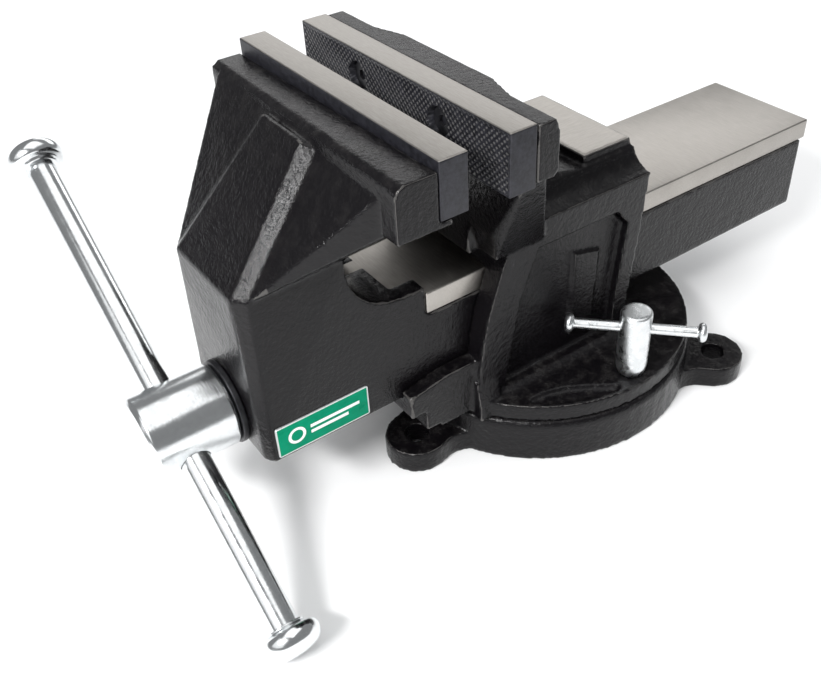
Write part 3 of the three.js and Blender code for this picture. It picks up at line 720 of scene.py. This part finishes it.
head_length = HEAD_REAR - HEAD_FRONT
head = turned("spindle_head", rounded([
    [0, 0.5], [8, 0.15], [HEAD_R - 2.0, 0.1], [HEAD_R - 0.1, 2.0], [HEAD_R, head_length - 1.2],
    [HEAD_R - 1.0, head_length], [SPINDLE_R + 0.5, head_length], [0, head_length]], 0.8),
    [0, HEAD_FRONT, SPINDLE_Z], [0, 1, 0], 128)
drilled(head, HANDLE_R + 0.35, HANDLE_AT, HANDLE_WAY, 40)
place_piece(head, "spindle", "plated_steel", HEAD_PLATING, "spindle")
place_piece(threaded_shaft(), "spindle", "plated_steel", OILED_STEEL, "spindle")


def ring_piece(name, inner, outer, front, rear, corner=0.6):
    """A flat ring on the spindle's axis with eased corners."""
    middle = (inner + outer) / 2
    profile = rounded([[middle, front], [outer, front], [outer, rear], [inner, rear], [inner, front],
                       [middle, front]], corner, 4)[:-1]
    return turned(name, profile, [0, 0, SPINDLE_Z], [0, 1, 0], 96, 50)


# Painted shadow: this blackened washer between the spindle head and the nose is dark to stand in for
# the shadow line where the head meets the nose.
place_piece(ring_piece("spindle_shadow_washer", SPINDLE_R + 0.4, 19.7, HEAD_REAR + 0.3, -177.8), "moving_jaw",
            "blackened_steel", BLACK_OXIDE_AND_SHADOW, "head_washer")

# ---- handle ----
bar_low, bar_high = -(HANDLE_DOWN - 4), HANDLE_UP - 4
bar_profile = rounded([[0, bar_low], [HANDLE_R, bar_low], [HANDLE_R, bar_high], [0, bar_high]], 0.5)
place_piece(turned("handle_rod", bar_profile, HANDLE_AT, HANDLE_WAY, 96), "handle", "plated_steel",
            BAR_PLATING, "handle_bar")


def knob(name, distance, outward_sign, necked):
    """A flattened ball: a collar or a neck, a wide rolled rim and a shallow dome."""
    neck = [[8.6, -5.0], [7.6, -4.0]] if necked else [[9.2, -5.0], [9.6, -4.4]]
    profile = rounded([[0, -6.0], [8.4, -6.0], *neck, [12.0, -3.6], [13.0, -1.2], [13.0, 1.2],
                       [12.0, 3.6], [9.0, 5.6], [4.5, 6.6], [0, 6.9]], 1.1, 5)
    return turned(name, profile, HANDLE_AT + HANDLE_WAY * distance, HANDLE_WAY * outward_sign, 96, 60)


place_piece(knob("handle_end_upper", HANDLE_UP, 1, False), "handle", "plated_steel", BAR_PLATING,
            "handle_knob_upper")
place_piece(knob("handle_end_lower", -HANDLE_DOWN, -1, True), "handle", "plated_steel", BAR_PLATING,
            "handle_knob_lower")

# ---- swivel locks ----
for side, sign in (("right", 1), ("left", -1)):
    centre = np.array([sign * LOCK_X, LOCK_Y, LOCK_FOOT])
    swing = math.radians(LOCK_TURN[side])
    bar_way = np.array([math.cos(swing), math.sin(swing), 0.0])
    tall = LOCK_TOP - LOCK_FOOT
    screw = turned(f"lock_head_{side}", rounded([
        [0, -26.5], [4.9, -26.5], [4.9, 0], [6.2, 0], [7.5, 3.5], [7.7, 8], [7.7, tall - 1],
        [6.8, tall], [0, tall]], 1.4), centre, [0, 0, 1], 80)
    bar_middle = np.array([centre[0], centre[1], LOCK_BAR_Z])
    drilled(screw, LOCK_BAR_R + 0.3, bar_middle, bar_way, 14)
    place_piece(screw, f"lock_{side}", "plated_steel", LOCK_PLATING, f"lock_screw_{side}")
    tip = np.array([[LOCK_BAR_R, 0], [4.2, 0.3], [4.9, 1.9], [4.2, 3.6], [2.2, 4.2], [0, 4.2]])
    ends = tip + [0, LOCK_BAR_HALF]
    both_ends = rounded(np.vstack([ends[::-1] * [1, -1], ends]), 0.9)
    lock_bar = turned(f"lock_rod_{side}", both_ends, bar_middle, bar_way, 48)
    place_piece(lock_bar, f"lock_{side}_bar", "plated_steel", LOCK_PLATING, f"lock_bar_{side}")


# ---- label ----
def foil_plate():
    """A thin plate with round corners: rings of one rounded rectangle, each further in, from the
    back edge over the rim to the face."""
    turn = np.linspace(0, 2 * math.pi, 96, endpoint=False)
    hy, hz = (LABEL["y"][1] - LABEL["y"][0]) / 2, (LABEL["z"][1] - LABEL["z"][0]) / 2
    corner = 1.2
    core = np.stack([np.sign(np.cos(turn)) * (hy - corner), np.sign(np.sin(turn)) * (hz - corner)], 1)
    rim = np.stack([np.cos(turn), np.sin(turn)], 1)
    back, face = LABEL["x"]
    levels = ((back, 0.0), (face - 0.15, 0.0), (face - 0.04, 0.06), (face, 0.2))
    middle = np.array([sum(LABEL["y"]) / 2, sum(LABEL["z"]) / 2])
    rings = []
    for x, inset in levels:
        flat = middle + core + rim * (corner - inset)
        rings.append(np.column_stack([np.full(len(turn), x), flat]))
    faces = ring_faces(len(levels), len(turn)).tolist()
    last = len(turn) * (len(levels) - 1)
    faces += [list(range(len(turn)))[::-1], list(range(last, last + len(turn)))]
    return outward(mesh_object("side_plate_foil", np.vstack(rings), faces, 40))


place_piece(foil_plate(), "moving_jaw", "green_label", LABEL_LOOK, "side_label")

# ---- pieces that stay as they are, with their finishes ----
KEPT = {BLACK_OXIDE_AND_SHADOW: ("fixed_jaw_screw_left", "fixed_jaw_screw_right", "moving_jaw_screw_left",
                      "moving_jaw_screw_right", "nut_screw_left", "nut_screw_right"),
        OILED_STEEL: ("spindle_nut", "tee_nut_right", "tee_nut_left", "thrust_collar", "collar_pin")}
for look, names in KEPT.items():
    for node in names:
        NODES[node].data.materials.clear()
        NODES[node].data.materials.append(look)


# ---- floor, light and camera ----
FLOOR_SPAN, FLOOR_Z = (400, 6000), -0.2


def pale_floor():
    """A round floor: rings whose radius grows in equal steps."""
    turn = np.linspace(0, 2 * math.pi, 72, endpoint=False)
    radius = np.linspace(*FLOOR_SPAN, 9)
    verts = np.stack([radius[:, None] * np.cos(turn), radius[:, None] * np.sin(turn),
                      np.full((len(radius), len(turn)), FLOOR_Z)], -1).reshape(-1, 3)
    faces = ring_faces(len(radius), len(turn)).tolist() + [list(range(len(turn)))[::-1]]
    piece = mesh_object("floor", verts, faces)
    material, net, shader, place = new_material("pale_floor")
    tint = net.noise(place, 6.0, 2.0)
    tone = net.blend(tint, (0.90, 0.90, 0.90), (0.94, 0.94, 0.94))
    feed(net, shader, Base_Color=tone, Roughness=0.75)
    piece.data.materials.append(material)


pale_floor()


def softbox(name, at, size, watts, aim=(0.0, -0.06, 0.09), tint=(1.0, 1.0, 1.0)):
    """A rectangular studio light that faces the object."""
    light = bpy.data.lights.new(name, "AREA")
    light.shape, light.size, light.size_y, light.energy, light.color = "RECTANGLE", *size, watts, tint
    lamp = bpy.data.objects.new(name, light)
    bpy.context.scene.collection.objects.link(lamp)
    lamp.location = at
    way = np.array(aim) - np.array(at)
    back = -way / np.linalg.norm(way)
    side = np.cross([0.0, 0.0, 1.0], back)
    side /= np.linalg.norm(side)
    up = np.cross(back, side)
    lamp.matrix_world = Matrix([[side[i], up[i], back[i], at[i]] for i in range(3)] + [[0, 0, 0, 1]])
    return lamp


softbox("key_front", (0.35, -0.98, 0.87), (0.42, 0.12), 15)
softbox("fill_front", (0.35, -1.25, 0.85), (1.5, 1.1), 4)
softbox("top_back", (-1.12, 0.95, 0.78), (1.8, 0.6), 6.0)
softbox("overhead", (0.15, 0.05, 2.2), (2.2, 2.2), 18)

world = bpy.data.worlds.new("studio")
bpy.context.scene.world = world
world.use_nodes = True
backdrop = world.node_tree.nodes["Background"]
backdrop.inputs["Color"].default_value = (0.97, 0.985, 1.0, 1.0)
# The room lights the floor evenly, looks white behind it, and is darker in the gloss of the metal.
room = Net(world.node_tree)
rays = room.put("ShaderNodeLightPath").outputs
ROOM_LIGHT, SEEN_EXTRA, GLOSS_LOSS = 0.6, 0.4, 0.34
seen = room.calc("MULTIPLY", rays["Is Camera Ray"], SEEN_EXTRA)
dimmed = room.calc("MULTIPLY", rays["Is Glossy Ray"], GLOSS_LOSS)
strength = room.calc("SUBTRACT", room.calc("ADD", seen, ROOM_LIGHT), dimmed)
world.node_tree.links.new(strength, backdrop.inputs["Strength"])
bpy.context.scene.view_settings.view_transform = "Standard"

camera = bpy.data.objects.new("camera", bpy.data.cameras.new("camera"))
bpy.context.scene.collection.objects.link(camera)
LOOK_RIGHT = (0.588198, 0.807864, -0.037136)
LOOK_UP = (-0.474938, 0.382235, 0.792673)
LOOK_BACK = (0.654566, -0.448611, 0.608515)
CAMERA_AT = (0.315321, -0.282854, 0.348858)
camera.matrix_world = Matrix([[LOOK_RIGHT[i], LOOK_UP[i], LOOK_BACK[i], CAMERA_AT[i]] for i in range(3)]
                             + [[0, 0, 0, 1]])
camera.data.sensor_width = 36.0
camera.data.lens = 42.27
camera.data.shift_x, camera.data.shift_y = -0.0258, -0.0226
camera.data.clip_start, camera.data.clip_end = 0.01, 50
bpy.context.scene.camera = camera
